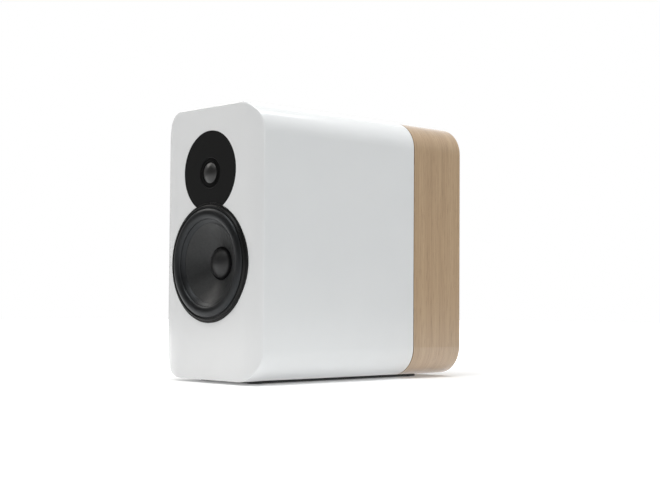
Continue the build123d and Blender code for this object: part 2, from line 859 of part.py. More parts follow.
# Tweeter chassis: an eared aluminium disc with a boss for the dome's surround
with BuildPart() as tweeter_chassis:
    with BuildSketch(facing(faceplate_thickness)):
        chassis_outline(0)
    extrude(amount=-chassis_thickness)
    with BuildSketch(facing(boss_front)):
        with Locations((0, dome_height)):
            Circle(chassis_boss_radius)
    extrude(amount=-chassis_boss_rise)
    with BuildSketch(facing(boss_front)):
        with Locations((0, dome_height)):
            Circle(chassis_throat)
    extrude(amount=boss_front - chassis_back, mode=Mode.SUBTRACT)
    with BuildSketch(facing(chassis_back - screw_bite)):
        with Locations((0, dome_height)):
            with PolarLocations(chassis_ear_circle, chassis_ears, start_angle=90):
                Circle(tweeter_screw_radius + thread_clearance)
    extrude(amount=-screw_bite, mode=Mode.SUBTRACT)
tweeter_chassis.part.label = "tweeter_chassis"
export_step(tweeter_chassis.part, "parts/tweeter_chassis.step")

# Tweeter gasket: a soft ring that keeps the chassis off the baffle
with BuildPart() as tweeter_gasket:
    with BuildSketch(facing(chassis_back)):
        chassis_outline(0)
        with Locations((0, dome_height)):
            Circle(tweeter_hole, mode=Mode.SUBTRACT)
            with PolarLocations(chassis_ear_circle, chassis_ears, start_angle=90):
                Circle(tweeter_screw_radius + screw_clearance, mode=Mode.SUBTRACT)
    extrude(amount=-driver_gasket_thickness)
tweeter_gasket.part.label = "tweeter_gasket"
export_step(tweeter_gasket.part, "parts/tweeter_gasket.step")

# Tweeter screws: driven from inside the cabinet into the chassis ears
with BuildPart() as tweeter_screws:
    with BuildSketch(facing(chassis_back - screw_bite)):
        with Locations((0, dome_height)):
            with PolarLocations(chassis_ear_circle, chassis_ears, start_angle=90):
                Circle(tweeter_screw_radius)
    extrude(amount=chassis_back - screw_bite - baffle_thickness)
    with BuildSketch(facing(baffle_thickness)):
        with Locations((0, dome_height)):
            with PolarLocations(chassis_ear_circle, chassis_ears, start_angle=90):
                Circle(tweeter_screw_head_radius)
    extrude(amount=-screw_head_height)
tweeter_screws.part.label = "tweeter_screws"
export_step(tweeter_screws.part, "parts/tweeter_screws.step")

# Tweeter dome: a thin coated fabric cap
dome_apex = dome_rim - dome_rise
with BuildPart() as tweeter_dome:
    with BuildSketch(profile_plane(dome_height)):
        with BuildLine():
            TangentArc((0, dome_apex), (dome_radius, dome_rim), tangent=(1, 0))
            Line((dome_radius, dome_rim), (dome_radius - dome_thickness, dome_rim))
            TangentArc(
                (0, dome_apex + dome_thickness), (dome_radius - dome_thickness, dome_rim), tangent=(1, 0)
            )
            Line((0, dome_apex + dome_thickness), (0, dome_apex))
        make_face()
    revolve(axis=turning_axis(dome_height))
tweeter_dome.part.label = "tweeter_dome"
export_step(tweeter_dome.part, "parts/tweeter_dome.step")

# Tweeter surround: a small roll from the coil former to the chassis boss
tweeter_roll_middle = dome_radius + tweeter_roll_width / 2
with BuildPart() as tweeter_surround:
    with BuildSketch(profile_plane(dome_height)):
        with BuildLine():
            Polyline(
                (tweeter_roll_outer, tweeter_lip_front),
                (tweeter_roll_outer + tweeter_lip, tweeter_lip_front),
                (tweeter_roll_outer + tweeter_lip, boss_front),
                (tweeter_roll_outer, boss_front),
            )
            ThreePointArc(
                (tweeter_roll_outer, boss_front),
                (tweeter_roll_middle, boss_front - tweeter_roll_rise),
                (dome_radius, boss_front),
            )
            Line((dome_radius, boss_front), (dome_radius, tweeter_lip_front))
            ThreePointArc(
                (dome_radius, tweeter_lip_front),
                (tweeter_roll_middle, tweeter_lip_front - tweeter_roll_rise),
                (tweeter_roll_outer, tweeter_lip_front),
            )
        make_face()
    revolve(axis=turning_axis(dome_height))
tweeter_surround.part.label = "tweeter_surround"
export_step(tweeter_surround.part, "parts/tweeter_surround.step")

# Tweeter voice coil: a former below the dome's rim with its copper winding in the gap
tweeter_coil_middle = chassis_back + tweeter_plate_thickness / 2
tweeter_coil_front = tweeter_coil_middle - tweeter_coil_length / 2
with BuildPart() as tweeter_voice_coil:
    with BuildSketch(facing(dome_rim)):
        with Locations((0, dome_height)):
            Circle(dome_radius)
            Circle(dome_radius - tweeter_former_thickness, mode=Mode.SUBTRACT)
    extrude(amount=-tweeter_former_length)
    with BuildSketch(facing(tweeter_coil_front)):
        with Locations((0, dome_height)):
            Circle(dome_radius + tweeter_coil_thickness)
            Circle(dome_radius, mode=Mode.SUBTRACT)
    extrude(amount=-tweeter_coil_length)
tweeter_voice_coil.part.label = "tweeter_voice_coil"
export_step(tweeter_voice_coil.part, "parts/tweeter_voice_coil.step")

# Tweeter front plate: the steel washer behind the chassis
with BuildPart() as tweeter_front_plate:
    with BuildSketch(facing(chassis_back)):
        with Locations((0, dome_height)):
            Circle(tweeter_motor_radius)
            Circle(dome_radius + tweeter_coil_thickness + tweeter_coil_gap, mode=Mode.SUBTRACT)
    extrude(amount=-tweeter_plate_thickness)
tweeter_front_plate.part.label = "tweeter_front_plate"
export_step(tweeter_front_plate.part, "parts/tweeter_front_plate.step")

# Tweeter magnet: a ferrite ring
with BuildPart() as tweeter_magnet:
    with BuildSketch(facing(tweeter_plate_back)):
        with Locations((0, dome_height)):
            Circle(tweeter_motor_radius)
            Circle(tweeter_magnet_bore, mode=Mode.SUBTRACT)
    extrude(amount=-tweeter_magnet_thickness)
tweeter_magnet.part.label = "tweeter_magnet"
export_step(tweeter_magnet.part, "parts/tweeter_magnet.step")

# Tweeter yoke: a back plate and a vented pole
tweeter_pole_radius = dome_radius - tweeter_former_thickness - tweeter_coil_gap
with BuildPart() as tweeter_yoke:
    with BuildSketch(profile_plane(dome_height)):
        with BuildLine():
            Polyline(
                (tweeter_vent_radius, chassis_back),
                (tweeter_pole_radius, chassis_back),
                (tweeter_pole_radius, tweeter_magnet_back),
                (tweeter_motor_radius, tweeter_magnet_back),
                (tweeter_motor_radius, tweeter_yoke_back),
                (tweeter_vent_radius, tweeter_yoke_back),
                close=True,
            )
        make_face()
    revolve(axis=turning_axis(dome_height))
tweeter_yoke.part.label = "tweeter_yoke"
export_step(tweeter_yoke.part, "parts/tweeter_yoke.step")

# Tweeter rear chamber: a closed cup behind the yoke that takes the dome's back wave
with BuildPart() as tweeter_rear_chamber:
    with BuildSketch(facing(tweeter_yoke_back)):
        with Locations((0, dome_height)):
            Circle(tweeter_chamber_radius)
    extrude(amount=-tweeter_chamber_length)
    with BuildSketch(facing(tweeter_yoke_back)):
        with Locations((0, dome_height)):
            Circle(tweeter_chamber_radius - tweeter_chamber_wall)
    extrude(amount=tweeter_chamber_wall - tweeter_chamber_length, mode=Mode.SUBTRACT)
tweeter_rear_chamber.part.label = "tweeter_rear_chamber"
export_step(tweeter_rear_chamber.part, "parts/tweeter_rear_chamber.step")

# Port flare: a moulded trumpet whose rim sits on the back panel
flare_inner = cabinet_depth - port_flare_depth
flare_mouth = port_radius + port_flare_radius
rim_back = cabinet_depth + port_rim_height
with BuildPart() as port_flare:
    with BuildSketch(profile_plane(port_height)):
        with BuildLine():
            Polyline(
                (port_radius, rim_back - port_flare_radius),
                (port_radius, flare_inner),
                (port_body_radius, flare_inner),
                (port_body_radius, cabinet_depth),
                (port_rim_radius, cabinet_depth),
                (port_rim_radius, rim_back - port_rim_height / 2),
                (port_rim_radius - port_rim_height / 2, rim_back),
                (flare_mouth, rim_back),
            )
            TangentArc(
                (port_radius, rim_back - port_flare_radius), (flare_mouth, rim_back), tangent=(0, 1)
            )
        make_face()
    revolve(axis=turning_axis(port_height))
port_flare.part.label = "port_flare"
export_step(port_flare.part, "parts/port_flare.step")

# Port tube: a plain tube that meets the flare inside the cabinet
with BuildPart() as port_tube:
    with BuildSketch(facing(cabinet_depth - port_length)):
        with Locations((0, port_height)):
            Circle(port_radius + port_wall)
            Circle(port_radius, mode=Mode.SUBTRACT)
    extrude(amount=port_flare_depth - port_length)
port_tube.part.label = "port_tube"
export_step(port_tube.part, "parts/port_tube.step")

# Terminal plate: let into the back panel, flush with it
with BuildPart() as terminal_plate:
    with BuildSketch(facing(cabinet_depth - terminal_plate_thickness)):
        with Locations((0, terminal_height)):
            RectangleRounded(terminal_plate_width, terminal_plate_height, terminal_plate_corner)
        with Locations(*post_places().values()):
            Circle(insulator_spigot + rebate_gap, mode=Mode.SUBTRACT)
    extrude(amount=-terminal_plate_thickness)
    with Locations(facing(cabinet_depth) * Location((0, terminal_height, 0))):
        with GridLocations(terminal_screw_spacing_x, terminal_screw_spacing_z, 2, 2):
            with Locations(Rotation(180, 0, 0)):
                CounterSinkHole(
                    terminal_screw_radius + screw_clearance, terminal_screw_head_radius + screw_clearance
                )
terminal_plate.part.label = "terminal_plate"
export_step(terminal_plate.part, "parts/terminal_plate.step")

# Terminal gasket: a foam frame on the pocket's ledge
with BuildPart() as terminal_gasket:
    with BuildSketch(facing(cabinet_depth - terminal_pocket)):
        with Locations((0, terminal_height)):
            RectangleRounded(terminal_plate_width, terminal_plate_height, terminal_plate_corner)
            Rectangle(terminal_opening_width, terminal_opening_height, mode=Mode.SUBTRACT)
            with GridLocations(terminal_screw_spacing_x, terminal_screw_spacing_z, 2, 2):
                Circle(terminal_screw_radius + screw_clearance, mode=Mode.SUBTRACT)
    extrude(amount=-terminal_gasket_thickness)
terminal_gasket.part.label = "terminal_gasket"
export_step(terminal_gasket.part, "parts/terminal_gasket.step")

# Terminal screws: countersunk, through plate and gasket into the back panel
terminal_screw_slope = terminal_screw_head_radius - terminal_screw_radius
terminal_screw_length = terminal_pocket + terminal_screw_bite
with BuildPart() as terminal_screws:
    with Locations(facing(cabinet_depth) * Location((0, terminal_height, 0))):
        with GridLocations(terminal_screw_spacing_x, terminal_screw_spacing_z, 2, 2):
            Cone(
                terminal_screw_head_radius,
                terminal_screw_radius,
                terminal_screw_slope,
                align=(Align.CENTER, Align.CENTER, Align.MIN),
            )
            Cylinder(
                terminal_screw_radius,
                terminal_screw_length,
                align=(Align.CENTER, Align.CENTER, Align.MIN),
            )
terminal_screws.part.label = "terminal_screws"
export_step(terminal_screws.part, "parts/terminal_screws.step")

# Post studs: four threaded posts with a socket for a 4 mm plug in the outer end
post_front = cabinet_depth - post_tail
post_back = nut_back - post_end_recess
with BuildPart() as post_studs:
    with BuildSketch(facing(post_front)):
        with Locations(*post_places().values()):
            Circle(post_radius)
    extrude(amount=post_front - post_back)
    with BuildSketch(facing(post_back - socket_length)):
        with Locations(*post_places().values()):
            Circle(socket_radius)
    extrude(amount=-socket_length, mode=Mode.SUBTRACT)
post_studs.part.label = "post_studs"
export_step(post_studs.part, "parts/post_studs.step")

# Post insulators: an outer collar with a spigot through the plate, and an inner washer behind it
plate_inside = cabinet_depth - terminal_plate_thickness
with BuildPart() as post_insulators:
    for across, height in post_places().values():
        with BuildSketch(profile_plane(height, across)):
            with BuildLine():
                Polyline(
                    (post_radius + thread_clearance, plate_inside + spigot_relief),
                    (insulator_spigot, plate_inside + spigot_relief),
                    (insulator_spigot, cabinet_depth),
                    (insulator_radius, cabinet_depth),
                    (insulator_radius, link_front),
                    (post_radius + thread_clearance, link_front),
                    close=True,
                )
            make_face()
        revolve(axis=turning_axis(height, across))
        with BuildSketch(facing(plate_inside - insulator_height)):
            with Locations((across, height)):
                Circle(insulator_radius)
                Circle(post_radius + thread_clearance, mode=Mode.SUBTRACT)
        extrude(amount=-insulator_height)
post_insulators.part.label = "post_insulators"
export_step(post_insulators.part, "parts/post_insulators.step")

# Post hex nuts: brass nuts that clamp each post from inside
hex_nut_front = plate_inside - insulator_height - hex_nut_height
with BuildPart() as post_hex_nuts:
    with BuildSketch(facing(hex_nut_front)):
        with Locations(*post_places().values()):
            RegularPolygon(hex_nut_radius, 6)
            Circle(post_radius + thread_clearance, mode=Mode.SUBTRACT)
    extrude(amount=-hex_nut_height)
post_hex_nuts.part.label = "post_hex_nuts"
export_step(post_hex_nuts.part, "parts/post_hex_nuts.step")

# Jumper links: two gold-plated straps that join the upper post to the lower one of the same sign
with BuildPart() as jumper_links:
    with BuildSketch(facing(link_front)):
        with Locations((0, terminal_height)):
            with GridLocations(post_spacing_x, 0, 2, 1):
                SlotCenterToCenter(post_spacing_z, link_width, rotation=90)
        with Locations(*post_places().values()):
            Circle(post_radius + screw_clearance, mode=Mode.SUBTRACT)
    extrude(amount=-link_thickness)
jumper_links.part.label = "jumper_links"
export_step(jumper_links.part, "parts/jumper_links.step")

# Binding posts: on each a captive washer that rides out with its fluted thumb nut
for post_name, (across, height) in post_places().items():
    with BuildPart() as post_washer:
        with BuildSketch(facing(washer_front)):
            with Locations((across, height)):
                Circle(post_washer_radius)
                Circle(post_radius + washer_clearance, mode=Mode.SUBTRACT)
        extrude(amount=-post_washer_thickness)
    post_washer.part.label = "post_washer_" + post_name
    export_step(post_washer.part, "parts/post_washer_" + post_name + ".step")

    with BuildPart() as post_nut:
        with BuildSketch(facing(nut_front)):
            with Locations((across, height)):
                Circle(post_nut_radius)
        extrude(amount=-post_nut_length)
        chamfer(post_nut.faces().sort_by(Axis.Y)[-1].edges(), post_nut_chamfer)
        with BuildSketch(facing(nut_front)):
            with Locations((across, height)):
                Circle(post_radius + post_thread_clearance)
                with PolarLocations(post_nut_radius, post_nut_flutes):
                    Circle(post_nut_flute_radius)
        extrude(amount=-post_nut_length, mode=Mode.SUBTRACT)
    post_nut.part.label = "post_nut_" + post_name
    export_step(post_nut.part, "parts/post_nut_" + post_name + ".step")

# Crossover standoffs: nylon pillars on the cabinet's floor
board_middle = front_y + board_depth + board_length / 2
board_bottom = inner_floor + standoff_height
board_top = board_bottom + board_thickness
with BuildPart() as crossover_standoffs:
    with BuildSketch(Plane.XY.offset(inner_floor)):
        with Locations((0, board_middle)):
            with GridLocations(
                board_width - 2 * standoff_inset, board_length - 2 * standoff_inset, 2, 2
            ):
                Circle(standoff_radius)
    extrude(amount=standoff_height)
crossover_standoffs.part.label = "crossover_standoffs"
export_step(crossover_standoffs.part, "parts/crossover_standoffs.step")

# Crossover board
with BuildPart() as crossover_board:
    with BuildSketch(Plane.XY.offset(board_bottom)):
        with Locations((0, board_middle)):
            Rectangle(board_width, board_length)
    extrude(amount=board_thickness)
crossover_board.part.label = "crossover_board"
export_step(crossover_board.part, "parts/crossover_board.step")


def wound_coil(outer, bore, height):
    """Half profile of a coil on a flanged bobbin, standing on the board."""
    winding = outer - coil_flange
    Polyline(
        (bore, board_top),
        (outer, board_top),
        (outer, board_top + coil_flange),
        (winding, board_top + coil_flange),
        (winding, board_top + height - coil_flange),
        (outer, board_top + height - coil_flange),
        (outer, board_top + height),
        (bore, board_top + height),
        close=True,
    )


# Crossover inductors: the woofer's large coil and the tweeter's small one
large_coil_place = (large_coil_radius - board_width / 2, board_middle)
with BuildPart() as crossover_inductor_large:
    with BuildSketch(Plane(origin=(*large_coil_place, 0), x_dir=(1, 0, 0), z_dir=(0, -1, 0))):
        with BuildLine():
            wound_coil(large_coil_radius, large_coil_bore, large_coil_height)
        make_face()
    revolve(axis=Axis((*large_coil_place, 0), (0, 0, 1)))
crossover_inductor_large.part.label = "crossover_inductor_large"
export_step(crossover_inductor_large.part, "parts/crossover_inductor_large.step")

small_coil_place = (
    board_width / 2 - small_coil_radius,
    board_middle + board_length / 2 - small_coil_radius,
)
with BuildPart() as crossover_inductor_small:
    with BuildSketch(Plane(origin=(*small_coil_place, 0), x_dir=(1, 0, 0), z_dir=(0, -1, 0))):
        with BuildLine():
            wound_coil(small_coil_radius, small_coil_bore, small_coil_height)
        make_face()
    revolve(axis=Axis((*small_coil_place, 0), (0, 0, 1)))
crossover_inductor_small.part.label = "crossover_inductor_small"
export_step(crossover_inductor_small.part, "parts/crossover_inductor_small.step")

# Crossover capacitors: film cans lying across the board beside the large coil
capacitor_x = board_width / 2 - capacitor_length / 2
capacitor_y = board_middle - board_length / 2 + capacitor_pitch
with BuildPart() as crossover_capacitors:
    with Locations((capacitor_x, capacitor_y, board_top + capacitor_radius)):
        with GridLocations(0, capacitor_pitch, 1, capacitor_count):
            Cylinder(capacitor_radius, capacitor_length, rotation=(0, 90, 0))
crossover_capacitors.part.label = "crossover_capacitors"
export_step(crossover_capacitors.part, "parts/crossover_capacitors.step")

# Crossover resistors: cement blocks behind the large coil
resistor_x = resistor_length / 2 - board_width / 2
resistor_y = board_middle + board_length / 2 - resistor_pitch / 2
with BuildPart() as crossover_resistors:
    with Locations((resistor_x, resistor_y, board_top)):
        with GridLocations(resistor_length + resistor_pitch / 2, 0, resistor_count, 1):
            Box(
                resistor_length,
                resistor_size,
                resistor_size,
                align=(Align.MIN, Align.CENTER, Align.MIN),
            )
crossover_resistors.part.label = "crossover_resistors"
export_step(crossover_resistors.part, "parts/crossover_resistors.step")


def lead_radii(points):
    """Corner radii of a lead: each arc as large as its two runs allow."""
    corners = [Vector(point) for point in points]
    radii = []
    for before, corner, after in zip(corners, corners[1:], corners[2:]):
        arriving = corner - before
        leaving = after - corner
        half_turn = radians(arriving.get_angle(leaving) / 2)
        radii.append(lead_bend_share * min(arriving.length, leaving.length) / tan(half_turn))
    return radii


# Internal leads: woofer, tweeter and the two input leads, from their terminals to the crossover board
tags_back = basket_depth + tag_board_thickness
chamber_side = (tweeter_chamber_radius + tweeter_motor_radius) / 2
low_post_height = terminal_height - post_spacing_z / 2
post_x = post_spacing_x / 2
lead_routes = (
    (
        (0, tags_back, tag_height),
        (0, 85, tag_height),
        (4, 132, 92),
        (8, 182, 70),
        (8, 182, board_top),
    ),
    (
        (0, tweeter_yoke_back, dome_height - chamber_side),
        (0, 62, dome_height - chamber_side),
        (4, 104, 228),
        (8, 142, 188),
        (8, 172, 138),
        (8, 195, 92),
        (8, 207, 58),
        (8, 207, board_top),
    ),
    (
        (post_x, post_front, low_post_height),
        (post_x, post_front - lead_post_run, low_post_height),
        (16, 297, 68),
        (12, 254, 60),
        (12, 234, 50),
        (12, 234, board_top),
    ),
    (
        (-post_x, post_front, low_post_height),
        (-post_x, post_front - lead_post_run, low_post_height),
        (-10, 297, 68),
        (4, 254, 60),
        (4, 234, 50),
        (4, 234, board_top),
    ),
)
with BuildPart() as internal_leads:
    for route in lead_routes:
        points = [(across, front_y + depth, height) for across, depth, height in route]
        with BuildLine() as lead_line:
            FilletPolyline(*points, radius=lead_radii(points))
        with BuildSketch(Plane(origin=lead_line.line @ 0, z_dir=lead_line.line % 0)):
            Circle(lead_radius)
        sweep(path=lead_line.line)
        print("lead radii", [round(radius, 1) for radius in lead_radii(points)])
internal_leads.part.label = "internal_leads"
export_step(internal_leads.part, "parts/internal_leads.step")
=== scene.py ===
from math import radians

import bpy
import numpy as np
from mathutils import Matrix, Vector


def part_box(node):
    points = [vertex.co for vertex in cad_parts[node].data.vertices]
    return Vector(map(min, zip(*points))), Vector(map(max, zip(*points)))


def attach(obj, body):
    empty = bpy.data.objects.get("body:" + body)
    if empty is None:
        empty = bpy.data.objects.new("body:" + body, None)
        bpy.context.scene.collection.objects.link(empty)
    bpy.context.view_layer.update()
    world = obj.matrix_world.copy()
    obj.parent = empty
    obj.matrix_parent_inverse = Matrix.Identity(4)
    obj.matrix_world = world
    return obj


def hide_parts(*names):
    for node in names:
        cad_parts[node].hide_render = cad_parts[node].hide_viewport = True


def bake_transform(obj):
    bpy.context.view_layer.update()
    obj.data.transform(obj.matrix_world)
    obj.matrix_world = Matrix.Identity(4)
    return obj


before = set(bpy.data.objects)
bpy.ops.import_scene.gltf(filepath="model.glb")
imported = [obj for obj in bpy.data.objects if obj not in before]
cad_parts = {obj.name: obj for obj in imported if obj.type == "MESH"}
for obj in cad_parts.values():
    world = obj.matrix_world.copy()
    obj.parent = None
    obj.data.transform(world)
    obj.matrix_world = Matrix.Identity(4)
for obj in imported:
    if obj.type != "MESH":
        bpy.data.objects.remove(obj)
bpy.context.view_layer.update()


# Base: a black powder-coated steel plate, set in under the cabinet and drilled for a stand.
# Four soft rubber pads under it stand on the shelf, and four washers keep it clear of the cabinet.
# Countersunk black screws hold it from below.
def surface(finish):
    """The inputs of a finish's shader."""
    return finish.node_tree.nodes["Principled BSDF"].inputs


def new_finish(name, colour, roughness, metal=0.0, gloss=0.5):
    """A plain finish of one colour, roughness and gloss, for patterns to be wired into."""
    finish = bpy.data.materials.new(name)
    finish.use_nodes = True
    surface(finish)["Base Color"].default_value = (*colour, 1)
    surface(finish)["Roughness"].default_value = roughness
    surface(finish)["Metallic"].default_value = metal
    surface(finish)["Specular IOR Level"].default_value = gloss
    return finish


def cloud(finish, lumps, detail=3.0):
    """Cloudy noise on object coordinates, with so many lumps a metre along x, y and z."""
    nodes = finish.node_tree.nodes
    place = nodes.new("ShaderNodeTexCoord")
    spread = nodes.new("ShaderNodeMapping")
    spread.inputs["Scale"].default_value = lumps
    noise = nodes.new("ShaderNodeTexNoise")
    noise.inputs["Scale"].default_value = 1
    noise.inputs["Detail"].default_value = detail
    finish.node_tree.links.new(place.outputs["Object"], spread.inputs["Vector"])
    finish.node_tree.links.new(spread.outputs["Vector"], noise.inputs["Vector"])
    return noise.outputs["Fac"]


def colour_by(finish, pattern, *stops):
    """Colours the surface by a pattern's value, through stops of a value and a colour."""
    ramp = finish.node_tree.nodes.new("ShaderNodeValToRGB")
    while len(ramp.color_ramp.elements) < len(stops):
        ramp.color_ramp.elements.new(0.5)
    for element, (value, colour) in zip(ramp.color_ramp.elements, stops):
        element.position = value
        element.color = (*colour, 1)
    finish.node_tree.links.new(pattern, ramp.inputs["Fac"])
    finish.node_tree.links.new(ramp.outputs["Color"], surface(finish)["Base Color"])
    return ramp.outputs["Color"]


def rough_by(finish, pattern, low, high, pattern_low=0.3, pattern_high=0.7):
    """Makes the surface rougher, from low to high, as a pattern's value rises over its usual range."""
    spread = finish.node_tree.nodes.new("ShaderNodeMapRange")
    spread.inputs["From Min"].default_value = pattern_low
    spread.inputs["From Max"].default_value = pattern_high
    spread.inputs["To Min"].default_value = low
    spread.inputs["To Max"].default_value = high
    finish.node_tree.links.new(pattern, spread.inputs["Value"])
    finish.node_tree.links.new(spread.outputs["Result"], surface(finish)["Roughness"])


def raise_by(finish, pattern, height):
    """Raises the surface by a pattern's value times a height in metres."""
    relief = finish.node_tree.nodes.new("ShaderNodeBump")
    relief.inputs["Distance"].default_value = height
    finish.node_tree.links.new(pattern, relief.inputs["Height"])
    finish.node_tree.links.new(relief.outputs["Normal"], surface(finish)["Normal"])


def dress(finish, *nodes):
    """Gives a finish to solids of the frame."""
    for node in nodes:
        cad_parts[node].material_slots[0].material = finish


powder_coat = new_finish("black_powder_coat", (0.012, 0.012, 0.012), 0.55)
powder_grain = cloud(powder_coat, (1400, 1400, 1400), detail=2)
colour_by(powder_coat, powder_grain, (0.35, (0.010, 0.010, 0.010)), (0.65, (0.015, 0.015, 0.016)))
raise_by(powder_coat, powder_grain, 0.00006)
dress(powder_coat, "base_plate", "base_screws")

pad_rubber = new_finish("pad_rubber", (0.02, 0.02, 0.02), 0.8)
pad_grain = cloud(pad_rubber, (900, 900, 900))
colour_by(pad_rubber, pad_grain, (0.3, (0.016, 0.016, 0.016)), (0.7, (0.026, 0.026, 0.025)))
raise_by(pad_rubber, pad_grain, 0.00005)
dress(pad_rubber, "base_feet", "base_isolators")


# Front shell: moulded and glued fibreboard with a baffle in one piece, sprayed in satin white.
# The lacquer is sanded flat under a clear coat, and shows only a faint unevenness.
lacquer = new_finish("white_lacquer", (0.84, 0.84, 0.84), 0.32)
lacquer_cloud = cloud(lacquer, (9, 9, 9), detail=2)
colour_by(lacquer, lacquer_cloud, (0.3, (0.825, 0.828, 0.832)), (0.7, (0.850, 0.852, 0.853)))
rough_by(lacquer, cloud(lacquer, (60, 60, 60), detail=5), 0.29, 0.35)
raise_by(lacquer, cloud(lacquer, (260, 260, 260), detail=1), 0.00001)
surface(lacquer)["Coat Weight"].default_value = 1
surface(lacquer)["Coat Roughness"].default_value = 0.1
dress(lacquer, "front_shell")


# Seam: a thin black rubber ring between the shells, set in from the outside as a fine shadow line.
# A fibreboard collar is glued across it inside, and two fibreboard window frames brace the walls.
seam_rubber = new_finish("seam_rubber", (0.012, 0.012, 0.012), 0.7)
colour_by(
    seam_rubber,
    cloud(seam_rubber, (500, 500, 500)),
    (0.3, (0.009, 0.009, 0.009)),
    (0.7, (0.016, 0.016, 0.016)),
)
dress(seam_rubber, "seam_gasket")

fibreboard = new_finish("fibreboard", (0.36, 0.24, 0.14), 0.85)
fibres = cloud(fibreboard, (700, 700, 700), detail=6)
colour_by(
    fibreboard,
    fibres,
    (0.3, (0.27, 0.175, 0.10)),
    (0.5, (0.36, 0.245, 0.145)),
    (0.7, (0.46, 0.33, 0.21)),
)
raise_by(fibreboard, fibres, 0.0001)
dress(fibreboard, "joint_collar", "cabinet_braces")


# Damping pads: two slabs of grey wool felt glued to the side walls between the braces.
# Their edges are cut by hand, so they are soft and a little drawn in.
def gridded(name, points, finish, closed=(True, True), sharp=radians(38)):
    """A mesh from a grid of points: each point is joined to the next in both directions, and the
    last to the first where that direction is closed. Faces are turned to point out of the volume,
    and edges sharper than an angle stay crisp."""
    rows, columns = points.shape[:2]
    index = np.arange(rows * columns).reshape(rows, columns)
    along = index if closed[0] else index[:-1]
    corner_a = along if closed[1] else along[:, :-1]
    corner_b = np.roll(index, -1, 1)[: len(along), : corner_a.shape[1]]
    corner_c = np.roll(np.roll(index, -1, 0), -1, 1)[: len(along), : corner_a.shape[1]]
    corner_d = np.roll(index, -1, 0)[: len(along), : corner_a.shape[1]]
    faces = np.stack((corner_a, corner_b, corner_c, corner_d), -1).reshape(-1, 4)
    flat = points.reshape(-1, 3)
    centred = flat - flat.mean(0)
    corners = centred[faces]
    spans = np.cross(corners[:, 2] - corners[:, 0], corners[:, 3] - corners[:, 1])
    if (spans * corners.mean(1)).sum() < 0:
        faces = faces[:, ::-1]
    mesh = bpy.data.meshes.new(name)
    mesh.from_pydata(flat.tolist(), [], faces.tolist())
    mesh.polygons.foreach_set("use_smooth", np.ones(len(faces), bool))
    mesh.set_sharp_from_angle(angle=sharp)
    mesh.materials.append(finish)
    piece = bpy.data.objects.new(name, mesh)
    bpy.context.scene.collection.objects.link(piece)
    return piece


def slab(name, low, high, finish, softness=0.16):
    """A soft slab: a super-ellipsoid, whose coordinates are half the size times the sine or cosine of
    the two angles, each raised to a small power so that the sides are nearly flat."""
    turn = np.linspace(0, 2 * np.pi, 96, endpoint=False)
    rise = np.linspace(-np.pi / 2, np.pi / 2, 49)

    def power(value):
        return np.sign(value) * np.abs(value) ** softness

    shape = np.stack(
        (
            np.outer(power(np.cos(rise)), power(np.cos(turn))),
            np.outer(power(np.cos(rise)), power(np.sin(turn))),
            np.outer(power(np.sin(rise)), np.ones_like(turn)),
        ),
        -1,
    )
    middle = (np.array(low) + np.array(high)) / 2
    half = (np.array(high) - np.array(low)) / 2
    return gridded(name, middle + half * shape, finish, closed=(False, True))


felt = new_finish("wool_felt", (0.10, 0.10, 0.105), 0.95)
felt_fibres = cloud(felt, (900, 900, 900), detail=8)
colour_by(
    felt,
    felt_fibres,
    (0.3, (0.06, 0.06, 0.063)),
    (0.55, (0.11, 0.11, 0.113)),
    (0.75, (0.20, 0.20, 0.20)),
)
raise_by(felt, felt_fibres, 0.0006)
pads_low, pads_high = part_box("damping_pads")
pad_thickness = 0.008
for side, pad_low, pad_high in (
    ("left", pads_low, (pads_low.x + pad_thickness, pads_high.y, pads_high.z)),
    ("right", (pads_high.x - pad_thickness, pads_low.y, pads_low.z), pads_high),
):
    pad = slab("damping_pad_" + side, pad_low, pad_high, felt)
    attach(pad, "cabinet")
    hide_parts("damping_pads")


# Rear shell and back panel: fibreboard with light oak veneer, sealed with a satin oil.
# The veneer is wrapped round the shell, so its grain runs up the sides and on across the top;
# on the back panel it runs upwards.
def oak(name, across):
    """Oak veneer whose fine streaks lie close together along one axis and run long along the others."""
    finish = new_finish(name, (0.5, 0.36, 0.235), 0.46)
    nodes = finish.node_tree.nodes
    links = finish.node_tree.links

    def streaks(close, long, detail):
        return cloud(finish, [close if axis == across else long for axis in range(3)], detail)

    broad_share = 0.45
    blend = nodes.new("ShaderNodeMix")
    blend.inputs["Factor"].default_value = broad_share
    links.new(streaks(560, 9.0, 6), blend.inputs["A"])
    links.new(streaks(60, 1.4, 3), blend.inputs["B"])
    colour = colour_by(
        finish,
        blend.outputs["Result"],
        (0.30, (0.370, 0.240, 0.130)),
        (0.45, (0.448, 0.296, 0.165)),
        (0.56, (0.494, 0.334, 0.190)),
        (0.70, (0.545, 0.377, 0.224)),
    )
    pore_rim, pore_floor = 0.60, 0.68
    pores = nodes.new("ShaderNodeMapRange")
    pores.inputs["From Min"].default_value = pore_rim
    pores.inputs["From Max"].default_value = pore_floor
    links.new(streaks(1500, 45, 2), pores.inputs["Value"])
    darken = nodes.new("ShaderNodeMix")
    darken.data_type = "RGBA"
    darken.blend_type = "MULTIPLY"
    links.new(pores.outputs["Result"], darken.inputs["Factor"])
    veneer, pore_shade = darken.inputs[6], darken.inputs[7]
    links.new(colour, veneer)
    pore_shade.default_value = (0.72, 0.66, 0.60, 1)
    links.new(darken.outputs[2], surface(finish)["Base Color"])
    rough_by(finish, streaks(400, 12, 3), 0.36, 0.46)
    surface(finish)["Coat Weight"].default_value = 1
    surface(finish)["Coat Roughness"].default_value = 0.14
    raise_by(finish, pores.outputs["Result"], -0.00004)
    return finish


dress(oak("oak_wrapped", across=1), "rear_shell")
dress(oak("oak_upright", across=0), "back_panel")


